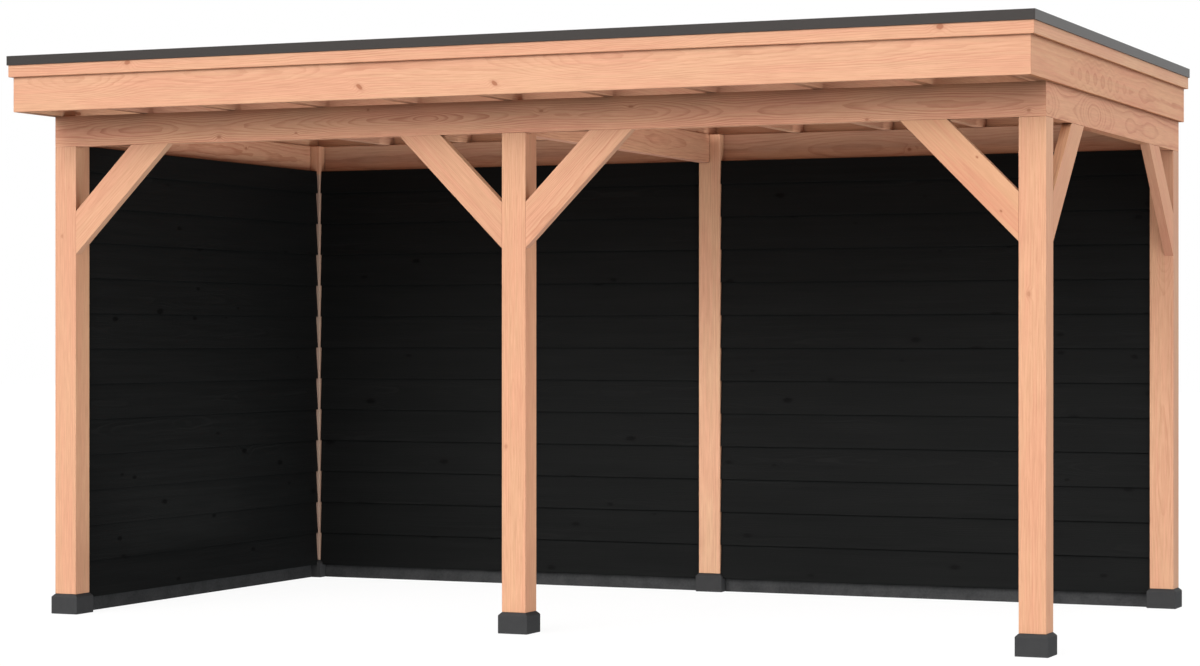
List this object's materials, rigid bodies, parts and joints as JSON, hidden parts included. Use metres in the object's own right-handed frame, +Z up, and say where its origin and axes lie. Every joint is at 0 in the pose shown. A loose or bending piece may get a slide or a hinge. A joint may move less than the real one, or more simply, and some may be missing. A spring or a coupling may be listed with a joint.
{
  "type": "garden canopy",
  "caption": "Open timber garden canopy: posts on dark feet, ring beams with knee braces, a flat boarded roof with fascia and dark trim, and black weatherboard walls on the left and back.",
  "frame": {"origin": "on the ground, under the middle of the roof", "axes": "+X along the open front to the right as seen from the front, +Y from the open front to the closed back, +Z up"},
  "size_m": [5.092, 2.963, 2.72],
  "materials": {
    "post_timber": "planed, untreated reddish softwood with fine grain",
    "beam_timber": "planed, untreated reddish softwood with wide grain and small knots",
    "fascia_timber": "planed, untreated reddish softwood boards",
    "roof_boards": "planed roof boards, seen from below",
    "wall_black": "black stained softwood weatherboards, satin",
    "foot_grey": "smooth dark grey, matt, with a light texture",
    "plinth_grey": "mottled dark grey, concrete-like",
    "trim_grey": "dark grey powder coated metal, matt",
    "roof_skin": "dark grey rubber roofing sheet, matt"
  },
  "bodies": {
    "root": {"post_front_left": "post_timber", "post_front_mid": "post_timber", "post_front_right": "post_timber", "post_back_left": "post_timber", "post_back_mid": "post_timber", "post_back_right": "post_timber", "foot_front_left": "foot_grey", "foot_front_mid": "foot_grey", "foot_front_right": "foot_grey", "foot_back_left": "foot_grey", "foot_back_mid": "foot_grey", "foot_back_right": "foot_grey", "beam_front": "beam_timber", "beam_back": "beam_timber", "beam_left": "beam_timber", "beam_right": "beam_timber", "beam_cross": "beam_timber", "brace_front_left": "post_timber", "brace_mid_left": "post_timber", "brace_mid_right": "post_timber", "brace_front_right": "post_timber", "brace_side_front": "post_timber", "brace_side_back": "post_timber", "roof_joists": "beam_timber", "roof_deck": "roof_boards", "roof_membrane": "roof_skin", "fascia_lower_front": "fascia_timber", "fascia_lower_back": "fascia_timber", "fascia_lower_left": "fascia_timber", "fascia_lower_right": "fascia_timber", "fascia_upper_front": "fascia_timber", "fascia_upper_back": "fascia_timber", "fascia_upper_left": "fascia_timber", "fascia_upper_right": "fascia_timber", "roof_trim_front": "trim_grey", "roof_trim_back": "trim_grey", "roof_trim_left": "trim_grey", "roof_trim_right": "trim_grey", "plinth_left": "plinth_grey", "plinth_back_left": "plinth_grey", "plinth_back_right": "plinth_grey", "wall_left": "wall_black", "wall_back_left": "wall_black", "wall_back_right": "wall_black"}
  },
  "joints": []
}
